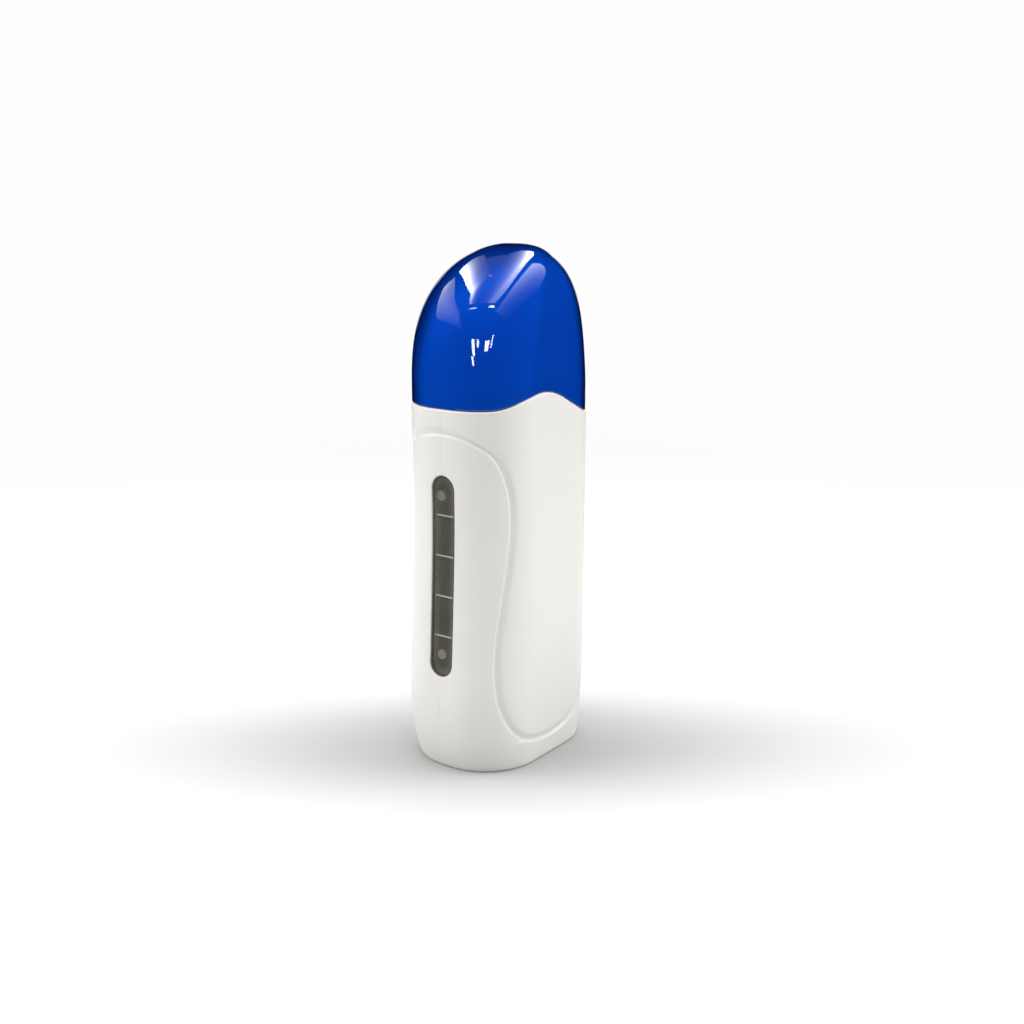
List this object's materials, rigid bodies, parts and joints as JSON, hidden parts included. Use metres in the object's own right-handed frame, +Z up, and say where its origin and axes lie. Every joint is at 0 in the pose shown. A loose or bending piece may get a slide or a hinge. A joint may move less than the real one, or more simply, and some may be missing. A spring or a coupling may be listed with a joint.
{
  "type": "roll-on wax heater",
  "caption": "Upright hand-held heater for a roll-on wax cartridge, white waisted body with a slot window and a tall slanted translucent cap that lifts off.",
  "frame": {"origin": "middle of the underside, on the surface it stands on", "axes": "+Z up along the body, -Y towards the viewing window, the two large faces at +X and -X"},
  "size_m": [0.0556, 0.076, 0.205],
  "materials": {
    "cap_plastic": "translucent royal blue, polished",
    "shell_plastic": "warm white, satin",
    "pane": "smoke tinted, clear",
    "sleeve_plastic": "dark grey, moulded",
    "plate_metal": "satin rolled sheet",
    "rivet_metal": "domed, satin",
    "ceramic": "sintered, matt",
    "electrode_metal": "thin sheet",
    "film": "amber film",
    "mica": "pressed mica",
    "spring_metal": "spring steel",
    "screw_metal": "zinc plated",
    "fuse_can": "plated can",
    "sleeving": "woven glass sleeving",
    "lamp_glass": "clear",
    "resistor_coat": "lacquered",
    "lead_black": "silicone",
    "inlet_plastic": "black, moulded",
    "pin_metal": "nickel plated",
    "lead_brown": "silicone",
    "lead_blue": "silicone",
    "lead_red": "silicone",
    "terminal_plastic": "nylon",
    "clip_plastic": "nylon"
  },
  "bodies": {
    "heater": {"shell_right": "shell_plastic", "shell_left": "shell_plastic", "window_pane": "pane", "cartridge_sleeve": "sleeve_plastic", "heater_plate": "plate_metal", "plate_rivets": "rivet_metal", "ptc_chips": "ceramic", "electrode_inner": "electrode_metal", "electrode_outer": "electrode_metal", "insulation_film": "film", "mica_sheet": "mica", "heater_clamp": "spring_metal", "clamp_screws": "screw_metal", "pressure_spring": "spring_metal", "spring_rivets": "rivet_metal", "thermal_fuse": "fuse_can", "fuse_sleeve": "sleeving", "indicator_lamp": "lamp_glass", "lamp_resistor": "resistor_coat", "lamp_leads": "lead_black", "inlet_housing": "inlet_plastic", "inlet_pins": "pin_metal", "live_lead": "lead_brown", "neutral_lead": "lead_blue", "fuse_lead": "lead_red", "terminals": "terminal_plastic", "lead_clip": "clip_plastic", "shell_screws": "screw_metal"},
    "cap": {"cap": "cap_plastic"}
  },
  "joints": [
    {"name": "cap_lift", "type": "slide", "parent": "heater", "child": "cap", "axis": [0, 0, 1], "range_m": [0, 0.06]}
  ]
}
